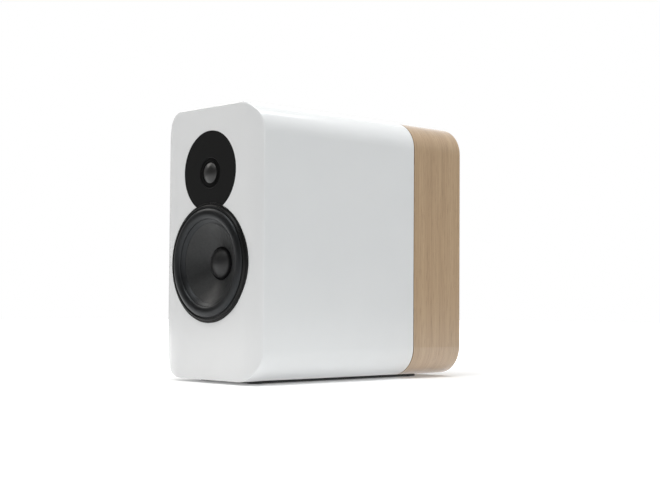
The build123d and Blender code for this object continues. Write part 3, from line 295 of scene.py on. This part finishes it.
# Woofer frame: a cast aluminium basket with a black coat, on a thin foam gasket in the baffle's
# rebate. Six black screws from inside hold it. Behind it are a plated steel plate, a ferrite
# ring magnet and a plated steel yoke, and the tweeter's like pieces share these finishes.
casting = new_finish("black_casting", (0.03, 0.03, 0.032), 0.5)
casting_grain = cloud(casting, (700, 700, 700), detail=4)
colour_by(casting, casting_grain, (0.3, (0.022, 0.022, 0.023)), (0.7, (0.042, 0.042, 0.044)))
raise_by(casting, casting_grain, 0.0001)
dress(casting, "woofer_basket", "tweeter_chassis")

foam = new_finish("gasket_foam", (0.03, 0.03, 0.03), 0.95)
foam_cells = cloud(foam, (1600, 1600, 1600), detail=2)
colour_by(foam, foam_cells, (0.35, (0.012, 0.012, 0.012)), (0.6, (0.045, 0.045, 0.044)))
raise_by(foam, foam_cells, 0.0003)
dress(foam, "woofer_gasket", "tweeter_gasket", "terminal_gasket")

black_oxide = new_finish("black_oxide", (0.05, 0.05, 0.052), 0.38, metal=1.0)
oxide_bloom = cloud(black_oxide, (800, 800, 800))
colour_by(black_oxide, oxide_bloom, (0.3, (0.042, 0.042, 0.044)), (0.7, (0.060, 0.060, 0.062)))
rough_by(black_oxide, oxide_bloom, 0.30, 0.46)
dress(black_oxide, "woofer_screws", "tweeter_screws", "terminal_screws")

zinc = new_finish("zinc_plated_steel", (0.62, 0.62, 0.60), 0.34, metal=1.0)
zinc_bloom = cloud(zinc, (240, 240, 240), detail=5)
colour_by(zinc, zinc_bloom, (0.3, (0.54, 0.55, 0.53)), (0.7, (0.70, 0.69, 0.66)))
rough_by(zinc, zinc_bloom, 0.29, 0.44)
dress(zinc, "woofer_front_plate", "woofer_yoke", "tweeter_front_plate", "tweeter_yoke")

ferrite = new_finish("ferrite", (0.035, 0.035, 0.036), 0.6)
ferrite_grain = cloud(ferrite, (500, 500, 500), detail=5)
colour_by(ferrite, ferrite_grain, (0.3, (0.024, 0.024, 0.025)), (0.7, (0.052, 0.052, 0.054)))
raise_by(ferrite, ferrite_grain, 0.00012)
dress(ferrite, "woofer_magnet", "tweeter_magnet")

laminate = new_finish("board_laminate", (0.05, 0.16, 0.08), 0.4)
laminate_weave = cloud(laminate, (700, 700, 200), detail=2)
colour_by(laminate, laminate_weave, (0.3, (0.035, 0.125, 0.06)), (0.7, (0.065, 0.195, 0.10)))
raise_by(laminate, laminate_weave, 0.00003)
dress(laminate, "woofer_terminals", "crossover_board")


# Woofer voice coil and spider: copper wire wound on a brown paper former that is glued to the
# cone's neck, kept in the middle of the magnet gap by a corrugated disc of resin-dipped cotton.
def bands(finish, pitch, axis):
    """Fine ridges across an axis, one for each pitch in metres. The wave itself repeats each tenth of
    pi, so its scale is a tenth of pi over the pitch."""
    nodes = finish.node_tree.nodes
    place = nodes.new("ShaderNodeTexCoord")
    ridges = nodes.new("ShaderNodeTexWave")
    ridges.bands_direction = axis
    ridges.inputs["Scale"].default_value = np.pi / 10 / pitch
    finish.node_tree.links.new(place.outputs["Object"], ridges.inputs["Vector"])
    return ridges.outputs["Fac"]


def copper(name, axis, wire=0.0008):
    """Enamelled copper wire of some thickness, in close turns along an axis, darker in the grooves between
    turns and lighter on their crests: painted shade and highlight.
    """
    finish = new_finish(name, (0.60, 0.24, 0.10), 0.3, metal=1.0)
    turns = bands(finish, wire, axis)
    colour_by(
        finish,
        turns,
        (0.0, (0.36, 0.13, 0.055)),
        (0.6, (0.66, 0.28, 0.13)),
        (1.0, (0.76, 0.36, 0.18)),
    )
    raise_by(finish, turns, 0.0002)
    return finish


dress(copper("coil_copper", "Y"), "woofer_coil_winding", "tweeter_voice_coil")

kraft = new_finish("brown_paper", (0.36, 0.22, 0.11), 0.75)
kraft_fibres = cloud(kraft, (900, 300, 900), detail=6)
colour_by(kraft, kraft_fibres, (0.3, (0.29, 0.17, 0.08)), (0.7, (0.44, 0.28, 0.15)))
dress(kraft, "woofer_coil_former")

cotton = new_finish("dipped_cotton", (0.42, 0.26, 0.09), 0.8)
cotton_weave = cloud(cotton, (1800, 400, 1800), detail=2)
colour_by(cotton, cotton_weave, (0.3, (0.30, 0.18, 0.06)), (0.7, (0.52, 0.34, 0.13)))
raise_by(cotton, cotton_weave, 0.0002)
dress(cotton, "woofer_spider")


# Woofer cone and dust cap: pressed paper pulp, coated black on the front, with a satin sheen.
# The cap is glued on the cone over the voice coil, and its gloss fades out at the rim: painted shade.
def ramped(tree, value, from_low, from_high, to_low, to_high):
    """A socket's value, carried smoothly from one range to another."""
    ramp = tree.nodes.new("ShaderNodeMapRange")
    ramp.interpolation_type = "SMOOTHSTEP"
    ramp.inputs["From Min"].default_value = from_low
    ramp.inputs["From Max"].default_value = from_high
    ramp.inputs["To Min"].default_value = to_low
    ramp.inputs["To Max"].default_value = to_high
    tree.links.new(value, ramp.inputs["Value"])
    return ramp.outputs["Result"]


def from_axis(finish, middle):
    """The distance from a line along y through a middle, on object coordinates."""
    nodes = finish.node_tree.nodes
    place = nodes.new("ShaderNodeTexCoord")
    aside = nodes.new("ShaderNodeVectorMath")
    aside.operation = "MULTIPLY_ADD"
    aside.inputs[1].default_value = (1, 0, 1)
    aside.inputs[2].default_value = (-middle.x, 0, -middle.z)
    reach = nodes.new("ShaderNodeVectorMath")
    reach.operation = "LENGTH"
    finish.node_tree.links.new(place.outputs["Object"], aside.inputs[0])
    finish.node_tree.links.new(aside.outputs["Vector"], reach.inputs[0])
    return reach.outputs["Value"]


cone_paper = new_finish("coated_paper", (0.02, 0.02, 0.021), 0.38, gloss=0.3)
cone_fibres = cloud(cone_paper, (420, 420, 420), detail=8)
colour_by(cone_paper, cone_fibres, (0.3, (0.015, 0.0155, 0.016)), (0.7, (0.023, 0.0235, 0.024)))
rough_by(cone_paper, cloud(cone_paper, (120, 120, 120), detail=5), 0.36, 0.48)
raise_by(cone_paper, cone_fibres, 0.00004)
dress(cone_paper, "woofer_cone")

cap_gloss = 0.4
cap_paper = new_finish("coated_cap", (0.009, 0.009, 0.0095), 0.42, gloss=cap_gloss)
cap_fibres = cloud(cap_paper, (700, 700, 700), detail=6)
colour_by(cap_paper, cap_fibres, (0.3, (0.007, 0.007, 0.0073)), (0.7, (0.011, 0.011, 0.0115)))
raise_by(cap_paper, cap_fibres, 0.00004)
cap_low, cap_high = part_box("woofer_dust_cap")
cap_reach = from_axis(cap_paper, (cap_low + cap_high) / 2)
# Painted shade: the cap's gloss falls to nothing near its rim, so a dark ring stands for the shadow there.
shade_ring_start = cap_high.x * 0.78
shade_ring_edge = cap_high.x * 0.92
cap_gloss_with_painted_shade = ramped(cap_paper.node_tree, cap_reach, shade_ring_start, shade_ring_edge, cap_gloss, 0.0)
cap_paper.node_tree.links.new(cap_gloss_with_painted_shade, surface(cap_paper)["Specular IOR Level"])
dress(cap_paper, "woofer_dust_cap")


# Woofer surround: a half roll of black butyl rubber, moulded with a lip under the trim ring and a
# lip on the cone. It is made as two rings that meet on the roll's crest: the outer one stays with
# the frame, and the inner one is left where it is built.
def eased(corners, easing, steps=7):
    """A closed profile with rounded corners: each corner becomes a parabola between the points an
    easing distance before and after it."""
    corners = np.asarray(corners, float)
    easing = np.broadcast_to(easing, len(corners))[:, None]
    before = np.roll(corners, 1, 0) - corners
    after = np.roll(corners, -1, 0) - corners
    start = corners + before / np.linalg.norm(before, axis=1, keepdims=True) * easing
    end = corners + after / np.linalg.norm(after, axis=1, keepdims=True) * easing
    t = np.linspace(0, 1, steps)[None, :, None]
    curve = (1 - t) ** 2 * start[:, None] + 2 * t * (1 - t) * corners[:, None] + t**2 * end[:, None]
    return curve.reshape(-1, 2)


def turned(name, profile, middle, finish, steps=288):
    """A turned ring: each point of a closed half profile, given as a radius and a place along y, goes
    round the axis through a middle, at x plus the radius times the cosine of the angle and z plus
    the radius times its sine."""
    radius, along = np.asarray(profile, float).T[:, :, None]
    angle = np.linspace(0, 2 * np.pi, steps, endpoint=False)[None, :]
    ring = np.stack(
        (
            middle[0] + radius * np.cos(angle),
            along + 0 * angle,
            middle[2] + radius * np.sin(angle),
        ),
        -1,
    )
    return gridded(name, ring, finish)


def half_roll(inner, outer, lip, base, thickness, crest, side):
    """Half of a roll's profile, from its crest to its lip: a quarter ellipse over the front, out along
    the lip, and back along a smaller ellipse. side is 1 for the outer half and -1 for the inner one."""
    middle = (inner + outer) / 2
    half = (outer - inner) / 2
    turn = np.concatenate(([0.0], np.linspace(0.002, np.pi / 2, 40)))
    front = np.stack((middle + side * half * np.sin(turn), base - (base - crest) * np.cos(turn)), 1)
    back = np.stack(
        (
            middle + side * (half - thickness) * np.sin(turn),
            base + thickness - (base - crest) * np.cos(turn),
        ),
        1,
    )
    return np.concatenate((front, lip, back[::-1]))


butyl = new_finish("butyl_rubber", (0.006, 0.006, 0.0063), 0.36, gloss=0.32)
butyl_cloud = cloud(butyl, (160, 160, 160), detail=5)
colour_by(butyl, butyl_cloud, (0.3, (0.005, 0.005, 0.0053)), (0.7, (0.007, 0.007, 0.0074)))
rough_by(butyl, butyl_cloud, 0.32, 0.4)
# The reflections are tinted cool: a painted tint for the bluish lamp light in the highlights.
surface(butyl)["Specular Tint"].default_value = (0.9, 0.95, 1.0, 1)
raise_by(butyl, cloud(butyl, (1500, 1500, 1500), detail=2), 0.00001)

surround_low, surround_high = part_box("woofer_surround")
cone_low, cone_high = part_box("woofer_cone")
woofer_middle = (cone_low + cone_high) / 2
rubber = 0.0007
lip_outer = surround_high.x
cone_edge = cone_high.x
roll_width = 0.0143
roll_outer = cone_edge + roll_width
lip_front = cone_low.y - rubber
roll_crest = surround_low.y
cone_lip = 0.005
lip_rounding = 0.0006
cone_depth = 0.0255
cone_run = 0.0398
cone_slope = cone_depth / cone_run
outer_lip = [(lip_outer, lip_front), (lip_outer, lip_front + rubber)]
inner_lip = [
    (cone_edge - cone_lip + lip_rounding, cone_low.y + (cone_lip - lip_rounding) * cone_slope - rubber),
    (cone_edge - cone_lip, cone_low.y + cone_lip * cone_slope - rubber / 2),
    (cone_edge - cone_lip, cone_low.y + cone_lip * cone_slope),
    (cone_edge, cone_low.y),
]
outer_roll = turned(
    "woofer_surround_outer",
    half_roll(cone_edge, roll_outer, outer_lip, lip_front, rubber, roll_crest, 1),
    woofer_middle,
    butyl,
)
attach(outer_roll, "cabinet")
inner_roll = turned(
    "woofer_surround_inner",
    half_roll(cone_edge, roll_outer, inner_lip, lip_front, rubber, roll_crest, -1),
    woofer_middle,
    butyl,
)
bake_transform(inner_roll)
for roll in (outer_roll, inner_roll):
    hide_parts("woofer_surround")


# Woofer trim ring: a moulded black ring pressed over the frame's flange, which hides its screws.
# A low flat rim lies on the baffle, and a rounded bead stands up around the rubber.
trim_plastic = new_finish("trim_plastic", (0.006, 0.006, 0.006), 0.3, gloss=0.2)
trim_cloud = cloud(trim_plastic, (300, 300, 300), detail=4)
colour_by(trim_plastic, trim_cloud, (0.3, (0.005, 0.005, 0.005)), (0.7, (0.007, 0.007, 0.007)))
rough_by(trim_plastic, trim_cloud, 0.29, 0.36)
raise_by(trim_plastic, cloud(trim_plastic, (1400, 1400, 1400), detail=2), 0.000015)
trim_low, trim_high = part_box("woofer_trim_ring")
trim_outer = trim_high.x
trim_width = 0.0056
rim_width = 0.0028
rim_height = 0.0017
bead_lean = 0.0006
trim_gap = 0.0003
trim_inner = trim_outer - trim_width
trim_bead = trim_outer - rim_width
rim_front = trim_high.y - rim_height
trim_corners = [
    (trim_outer, trim_high.y),
    (trim_outer, rim_front),
    (trim_bead, rim_front),
    (trim_bead - bead_lean, trim_low.y),
    (trim_inner, trim_low.y),
    (trim_inner, lip_front),
    (lip_outer + trim_gap, lip_front),
    (lip_outer + trim_gap, trim_high.y),
]
trim_easing = [0.0001, 0.0005, 0.0005, 0.0009, 0.0007, 0.0001, 0.0001, 0.0001]
trim_ring = turned("woofer_trim", eased(trim_corners, trim_easing), woofer_middle, trim_plastic)
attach(trim_ring, "cabinet")
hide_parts("woofer_trim_ring")


# Tweeter: a thin flat plate of matt black plastic over an eared chassis, with a coated fabric dome
# in its mouth and a closed plastic chamber behind the magnet.
plate_plastic = new_finish("matt_plate", (0.006, 0.006, 0.006), 0.55, gloss=0.1)
plate_grain = cloud(plate_plastic, (1800, 1800, 1800), detail=2)
colour_by(plate_plastic, plate_grain, (0.3, (0.0052, 0.0052, 0.0052)), (0.7, (0.0068, 0.0068, 0.0069)))
raise_by(plate_plastic, plate_grain, 0.00003)
dress(plate_plastic, "tweeter_faceplate", "tweeter_rear_chamber")

silk = new_finish("coated_silk", (0.009, 0.009, 0.0092), 0.35, gloss=0.5)
silk_weave = cloud(silk, (2600, 600, 2600), detail=2)
colour_by(silk, silk_weave, (0.3, (0.007, 0.0068, 0.0066)), (0.7, (0.011, 0.0106, 0.0102)))
rough_by(silk, cloud(silk, (500, 500, 500)), 0.3, 0.4)
raise_by(silk, silk_weave, 0.00003)
dress(silk, "tweeter_dome")

edge_cloth = new_finish("dome_edge_cloth", (0.0024, 0.0024, 0.0024), 0.7, gloss=0.06)
edge_weave = cloud(edge_cloth, (2200, 600, 2200), detail=2)
colour_by(edge_cloth, edge_weave, (0.3, (0.0018, 0.0018, 0.0018)), (0.7, (0.0030, 0.0030, 0.0030)))
raise_by(edge_cloth, edge_weave, 0.00003)

dome_low, dome_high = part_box("tweeter_dome")
edge_low, edge_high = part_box("tweeter_surround")
dome_middle = (dome_low + dome_high) / 2
dome_edge = dome_high.x
fabric = 0.0004
edge_width = 0.0031
edge_steps = 160
edge_outer = dome_edge + edge_width
edge_front = edge_high.y - fabric
dome_outer_lip = [(edge_high.x, edge_front), (edge_high.x, edge_high.y)]
dome_inner_lip = [(dome_edge, edge_front + fabric)]
outer_edge = turned(
    "tweeter_surround_outer",
    half_roll(dome_edge, edge_outer, dome_outer_lip, edge_front, fabric, edge_low.y, 1),
    dome_middle,
    edge_cloth,
    steps=edge_steps,
)
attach(outer_edge, "cabinet")
inner_edge = turned(
    "tweeter_surround_inner",
    half_roll(dome_edge, edge_outer, dome_inner_lip, edge_front, fabric, edge_low.y, -1),
    dome_middle,
    edge_cloth,
    steps=edge_steps,
)
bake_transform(inner_edge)
for edge in (outer_edge, inner_edge):
    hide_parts("tweeter_surround")


# Port: a flared mouth moulded in black plastic, pushed on a plain black tube inside the cabinet.
# The terminal plate, the post collars and the crossover's pillars are of the same plastic.
port_plastic = new_finish("port_plastic", (0.018, 0.018, 0.018), 0.5)
port_grain = cloud(port_plastic, (1200, 1200, 1200), detail=3)
colour_by(port_plastic, port_grain, (0.3, (0.014, 0.014, 0.014)), (0.7, (0.022, 0.022, 0.022)))
raise_by(port_plastic, port_grain, 0.00004)
dress(port_plastic, "port_flare", "port_tube", "terminal_plate", "post_insulators", "crossover_standoffs")


# Binding posts: gold-plated brass studs with fluted thumb nuts and captive washers, held inside
# by hexagon nuts. Two gold-plated straps link the upper pair to the lower pair.
gold = new_finish("gold_plate", (0.83, 0.58, 0.22), 0.22, metal=1.0)
gold_wear = cloud(gold, (350, 350, 350), detail=6)
colour_by(gold, gold_wear, (0.3, (0.76, 0.51, 0.19)), (0.7, (0.88, 0.64, 0.27)))
rough_by(gold, gold_wear, 0.17, 0.26)
posts = ("high_plus", "high_minus", "low_plus", "low_minus")
dress(gold, "post_studs", "post_hex_nuts", "jumper_links")
dress(gold, *("post_nut_" + post for post in posts), *("post_washer_" + post for post in posts))


# Crossover: two copper coils, two red film capacitors and two white cement resistors on a green
# board, which stands on four pillars. Black leads are soldered to it and run to the drivers and posts.
dress(copper("inductor_copper", "Z"), "crossover_inductor_large", "crossover_inductor_small")

film = new_finish("capacitor_film", (0.45, 0.03, 0.02), 0.2)
film_cloud = cloud(film, (90, 300, 300), detail=2)
colour_by(film, film_cloud, (0.3, (0.36, 0.022, 0.015)), (0.7, (0.52, 0.04, 0.028)))
dress(film, "crossover_capacitors")

cement = new_finish("cement", (0.66, 0.65, 0.60), 0.9)
cement_grain = cloud(cement, (900, 900, 900), detail=6)
colour_by(cement, cement_grain, (0.3, (0.56, 0.55, 0.50)), (0.7, (0.74, 0.73, 0.68)))
raise_by(cement, cement_grain, 0.0002)
dress(cement, "crossover_resistors")

jacket = new_finish("lead_jacket", (0.02, 0.02, 0.02), 0.5)
jacket_cloud = cloud(jacket, (200, 200, 200), detail=3)
colour_by(jacket, jacket_cloud, (0.3, (0.015, 0.015, 0.015)), (0.7, (0.026, 0.026, 0.026)))
rough_by(jacket, jacket_cloud, 0.42, 0.58)
dress(jacket, "internal_leads")


# Studio: a white paper floor that keeps the soft shadow under the base, in a white room. Reflections
# find it pale behind the speaker, at the left and around the camera, and dim elsewhere. Softboxes hang
# over the front, overhead and at the upper left, and a cool one stands low at the right.
def seen_level(tree, unseen, reflected, seen):
    """A level for a surface or the room: unseen is a number for the light that it sheds, reflected a
    socket or number for what reflections and glass show of it, and seen one for the camera."""

    def feed(value, socket):
        if isinstance(value, bpy.types.NodeSocket):
            tree.links.new(value, socket)
        else:
            socket.default_value = value

    path = tree.nodes.new("ShaderNodeLightPath")
    mirrored = tree.nodes.new("ShaderNodeMath")
    mirrored.operation = "MAXIMUM"
    tree.links.new(path.outputs["Is Glossy Ray"], mirrored.inputs[0])
    tree.links.new(path.outputs["Is Transmission Ray"], mirrored.inputs[1])
    indirect = tree.nodes.new("ShaderNodeMapRange")
    tree.links.new(mirrored.outputs["Value"], indirect.inputs["Value"])
    indirect.inputs["To Min"].default_value = unseen
    feed(reflected, indirect.inputs["To Max"])
    level = tree.nodes.new("ShaderNodeMapRange")
    tree.links.new(path.outputs["Is Camera Ray"], level.inputs["Value"])
    tree.links.new(indirect.outputs["Result"], level.inputs["To Min"])
    feed(seen, level.inputs["To Max"])
    return level.outputs["Result"]


floor_half = 5.0
floor_mesh = bpy.data.meshes.new("studio_floor")
floor_corners = floor_half * np.array([(-1, -1, 0), (1, -1, 0), (1, 1, 0), (-1, 1, 0)])
floor_mesh.from_pydata(floor_corners.tolist(), [], [(0, 1, 2, 3)])
floor = bpy.data.objects.new("studio_floor", floor_mesh)
bpy.context.scene.collection.objects.link(floor)
paper = new_finish("white_paper", (0.95, 0.95, 0.95), 0.95, gloss=0)
paper_place = paper.node_tree.nodes.new("ShaderNodeTexCoord")
paper_reach = paper.node_tree.nodes.new("ShaderNodeVectorMath")
paper_reach.operation = "LENGTH"
paper.node_tree.links.new(paper_place.outputs["Object"], paper_reach.inputs[0])
shadow_reach, white_reach = 0.2, 0.9
shadow_level, white_level = 0.2, 1.0
paper_seen = ramped(
    paper.node_tree,
    paper_reach.outputs["Value"],
    shadow_reach,
    white_reach,
    shadow_level,
    white_level,
)
surface(paper)["Emission Color"].default_value = (1, 1, 1, 1)
paper.node_tree.links.new(
    seen_level(paper.node_tree, unseen=0.0, reflected=0.62, seen=paper_seen),
    surface(paper)["Emission Strength"],
)
floor_mesh.materials.append(paper)

room = bpy.data.worlds.new("studio_room")
room.use_nodes = True
room_place = room.node_tree.nodes.new("ShaderNodeTexCoord")


def wall(direction, from_low, from_high, to_low, to_high):
    """The level of a pale part of the room, which fades as a look turns away from a direction."""
    along = room.node_tree.nodes.new("ShaderNodeVectorMath")
    along.operation = "DOT_PRODUCT"
    along.inputs[1].default_value = Vector(direction).normalized()
    room.node_tree.links.new(room_place.outputs["Generated"], along.inputs[0])
    return ramped(room.node_tree, along.outputs["Value"], from_low, from_high, to_low, to_high)


behind_and_over = wall((-0.1, 0.75, 0.65), from_low=0.4, from_high=0.78, to_low=0.14, to_high=0.72)
at_the_left = wall((-0.85, 0.5, 0.0), from_low=0.5, from_high=0.95, to_low=0.0, to_high=0.4)
round_the_camera = wall((0.72, -0.69, 0.0), from_low=0.82, from_high=0.95, to_low=0.0, to_high=1.2)
room_mirrored = behind_and_over
for pale_wall in (at_the_left, round_the_camera):
    both = room.node_tree.nodes.new("ShaderNodeMath")
    room.node_tree.links.new(room_mirrored, both.inputs[0])
    room.node_tree.links.new(pale_wall, both.inputs[1])
    room_mirrored = both.outputs["Value"]
room.node_tree.links.new(
    seen_level(room.node_tree, unseen=0.26, reflected=room_mirrored, seen=1.0),
    room.node_tree.nodes["Background"].inputs["Strength"],
)
room.node_tree.nodes["Background"].inputs["Color"].default_value = (1, 1, 1, 1)
bpy.context.scene.world = room


def softbox(name, place, aim, size, power, tint=(1, 1, 1)):
    """A flat square lamp at a place, turned to face an aim."""
    lamp = bpy.data.lights.new(name, "AREA")
    lamp.shape = "SQUARE"
    lamp.size = size
    lamp.energy = power
    lamp.color = tint
    stand = bpy.data.objects.new(name, lamp)
    turn = (Vector(aim) - Vector(place)).to_track_quat("-Z", "Y")
    stand.matrix_world = Matrix.Translation(place) @ turn.to_matrix().to_4x4()
    bpy.context.scene.collection.objects.link(stand)


baffle_middle = (0.0, -0.2, 0.2)
softbox("front_softbox", (0.0, -1.15, 2.05), baffle_middle, size=1.3, power=19.5, tint=(0.99, 1.0, 0.99))
softbox("top_softbox", (0.3, 0.25, 2.0), (0.1, 0.0, 0.1), size=1.5, power=25, tint=(0.97, 0.99, 1.0))
softbox("left_softbox", (-1.7, -0.8, 1.7), baffle_middle, size=1.0, power=10, tint=(1.0, 0.97, 0.93))
softbox("right_softbox", (1.75, 0.55, 0.41), (0.1, 0.08, 0.12), size=0.8, power=2.5, tint=(0.86, 0.98, 1.0))


# Camera: the photograph's, fitted to the cabinet's edges and the two driver rings.
# It stands to the speaker's right, a little above the floor, and looks slightly up.
camera_data = bpy.data.cameras.new("camera")
camera_data.sensor_fit = "HORIZONTAL"
camera_data.sensor_width = 36
camera_data.lens = 70.064
camera_data.clip_end = 50
camera = bpy.data.objects.new("camera", camera_data)
camera_place = Vector((1.30804, -1.23601, 0.10427))
camera_turn = radians(46.240)
camera_tilt = radians(2.476)
camera_roll = radians(0.387)
camera.matrix_world = (
    Matrix.Translation(camera_place)
    @ Matrix.Rotation(camera_turn, 4, "Z")
    @ Matrix.Rotation(radians(90) + camera_tilt, 4, "X")
    @ Matrix.Rotation(camera_roll, 4, "Z")
)
bpy.context.scene.collection.objects.link(camera)
bpy.context.scene.camera = camera
bpy.context.scene.view_settings.view_transform = "Standard"
